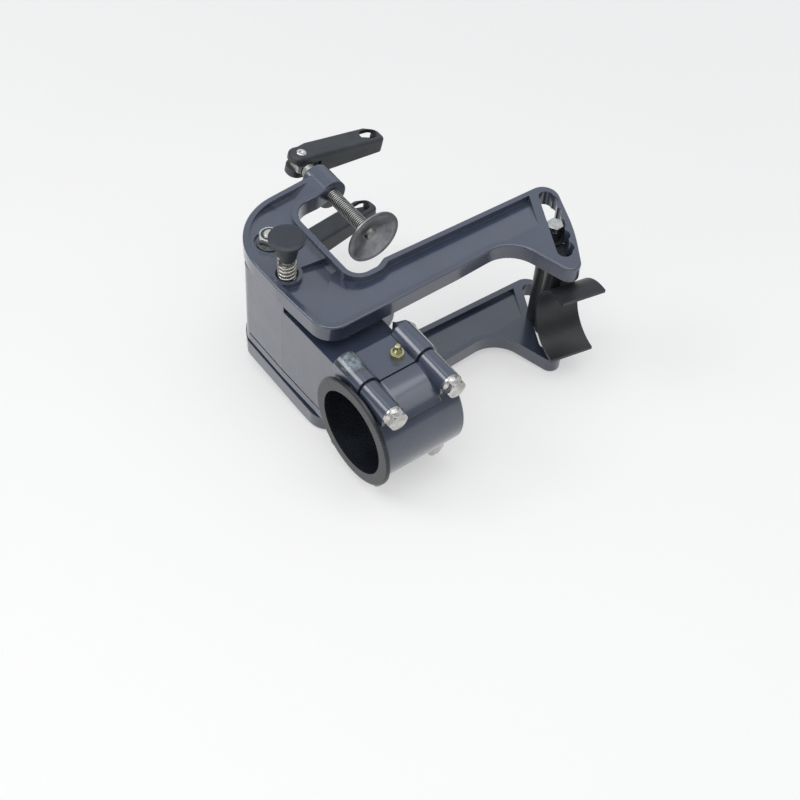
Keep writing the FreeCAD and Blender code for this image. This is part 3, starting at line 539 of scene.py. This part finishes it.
def clamp_screw(side, sign, advance):
    """The solid's pad end and eye, with a cut thread between them."""
    node = side + "_clamp_screw"
    start = PAD_BACK_Y + THREAD_TO_PAD - advance
    end = EYE_START_Y - advance
    centre = (SCREW_X, 0.0, sign * SCREW_Z)
    mesh = without_shank(node, centre, start, end)
    mesh.from_mesh(thread_mesh(node + "_thread", centre, start, end))
    data = to_data(side + "_threaded_screw", mesh)
    piece = new_piece(side + "_threaded_screw", data, side + "_screw", screw_steel)
    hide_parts(node)


def lock_spring():
    """Copy of the lock's spring, put in place of the solid's."""
    spring_low, spring_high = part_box("tilt_lock_spring")
    mesh = nodes["tilt_lock_spring"].data.copy()
    spring = new_piece("lock_spring", mesh, "clamp_brackets", spring_wire)
    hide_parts("tilt_lock_spring")
    spring_foot = (spring_low + spring_high) / 2
    spring_foot.z = spring_low.z
    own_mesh(spring)


def ring_mesh(name, centre, inner, outer, low, high):
    """Flat ring about Z with its two upper edges eased."""
    profile = (
        (outer, low), (outer, high - RING_EASE), (outer - RING_EASE, high),
        (inner + RING_EASE, high), (inner, high - RING_EASE), (inner, low),
    )
    mesh = bmesh.new()
    rows = []
    for i in range(RING_STEPS):
        turn = math.tau * i / RING_STEPS
        rows.append([
            mesh.verts.new((centre[0] + r * math.cos(turn), centre[1] + r * math.sin(turn), z))
            for r, z in profile
        ])
    for row, following in zip(rows, rows[1:] + rows[:1]):
        for k in range(len(profile)):
            j = (k + 1) % len(profile)
            mesh.faces.new((row[k], following[k], following[j], row[j]))
    bmesh.ops.recalc_face_normals(mesh, faces=mesh.faces)
    return to_data(name, mesh)


def nut_insert():
    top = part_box("tilt_bolt_nut")[1].z
    nylon = ring_mesh(
        "nut_insert", TILT_AXIS, NYLON_INNER, NYLON_OUTER, top - NYLON_SUNK, top + NYLON_PROUD)
    new_piece("nut_insert", nylon, "clamp_brackets", bush)


clamp_screw("upper", 1, 0.0)
clamp_screw("lower", -1, LOWER_ADVANCE)
lock_spring()
nut_insert()


# Camera, floor and light

def camera():
    data = bpy.data.cameras.new("camera")
    data.sensor_width = SENSOR_MM
    data.lens = LENS_MM
    data.clip_start, data.clip_end = CLIP_START, CLIP_END
    item = bpy.data.objects.new("camera", data)
    bpy.context.scene.collection.objects.link(item)
    item.location = CAMERA_PLACE
    item.rotation_mode = "QUATERNION"
    roll = Quaternion((0, 0, 1), CAMERA_ROLL)
    item.rotation_quaternion = Vector(CAMERA_TOWARDS).to_track_quat("-Z", "Y") @ roll
    bpy.context.scene.camera = item


def resting_plane():
    """A point and the normal of the plane under the object, parallel to its rest points."""
    first, second, third = (Vector(point) for point in REST_POINTS)
    normal = (second - first).cross(third - first).normalized()
    if normal.z < 0:
        normal = -normal
    lowest = 0.0
    for item in bpy.context.scene.objects:
        if item.type == "MESH" and not item.hide_render:
            for vertex in item.data.vertices:
                lowest = min(lowest, (vertex.co - first).dot(normal))
    return first + normal * lowest, normal


def seen_ray(graph):
    """1 for rays from the camera, a glossy surface or through a clear one, else 0."""
    path = graph.add("ShaderNodeLightPath").outputs
    reflected = graph.math("MAXIMUM", path["Is Camera Ray"], path["Is Glossy Ray"])
    return graph.math("MAXIMUM", reflected, path["Is Transmission Ray"])


def floor_white():
    """Pale floor that also glows for the rays that show it, more so far from the object."""
    m = Surface("floor_white")
    m.set(Base_Color=FLOOR_COLOUR, Roughness=FLOOR_ROUGHNESS)
    (near, faint), (far, strong) = GLOW_NEAR, GLOW_FAR
    away = m.vector("LENGTH", m.place)["Value"]
    level = m.remap(away, near, far, faint, strong)
    glow = m.add("ShaderNodeEmission")
    m.put(GLOW_COLOUR, glow.inputs["Color"])
    m.put(m.math("MULTIPLY", seen_ray(m), level), glow.inputs["Strength"])
    both = m.add("ShaderNodeAddShader")
    m.put(m.shader.outputs[0], both.inputs[0])
    m.put(glow.outputs[0], both.inputs[1])
    m.put(both.outputs[0], m.tree.nodes["Material Output"].inputs["Surface"])
    return m.material


def floor():
    place, normal = resting_plane()
    bpy.ops.mesh.primitive_plane_add(size=FLOOR_SIZE)
    item = bpy.context.object
    item.name = "floor"
    item.location = place
    item.rotation_mode = "QUATERNION"
    item.rotation_quaternion = normal.to_track_quat("Z", "Y")
    item.data.materials.append(floor_white())


def lamp(name, place, side, watts):
    data = bpy.data.lights.new(name, "AREA")
    data.shape = "SQUARE"
    data.size = side
    data.energy = watts
    item = bpy.data.objects.new(name, data)
    bpy.context.scene.collection.objects.link(item)
    item.location = place
    item.rotation_mode = "QUATERNION"
    towards = Vector(LAMP_TARGET) - Vector(place)
    item.rotation_quaternion = towards.to_track_quat("-Z", "Y")


def sky():
    """Even for diffuse rays and for the camera, with a soft box in what surfaces reflect."""
    world = bpy.data.worlds.new("studio")
    world.use_nodes = True
    graph = Graph(world.node_tree)
    background = world.node_tree.nodes["Background"].inputs
    graph.put(SKY_COLOUR, background["Color"])
    place = graph.add("ShaderNodeTexCoord").outputs["Generated"]
    turned_to = graph.vector("DOT_PRODUCT", place, Vector(BOX_TOWARDS).normalized())["Value"]
    soft_box = graph.remap(turned_to, *BOX_EDGE, *BOX_STRENGTH, kind="SMOOTHSTEP")
    level = graph.remap(seen_ray(graph), 0.0, 1.0, SKY_DIFFUSE, soft_box)
    camera_ray = graph.add("ShaderNodeLightPath").outputs["Is Camera Ray"]
    graph.put(graph.remap(camera_ray, 0.0, 1.0, level, SKY_SHOWN), background["Strength"])
    bpy.context.scene.world = world


camera()
floor()
sky()
for row in LAMPS:
    lamp(*row)

scene = bpy.context.scene
scene.view_settings.view_transform = "Standard"
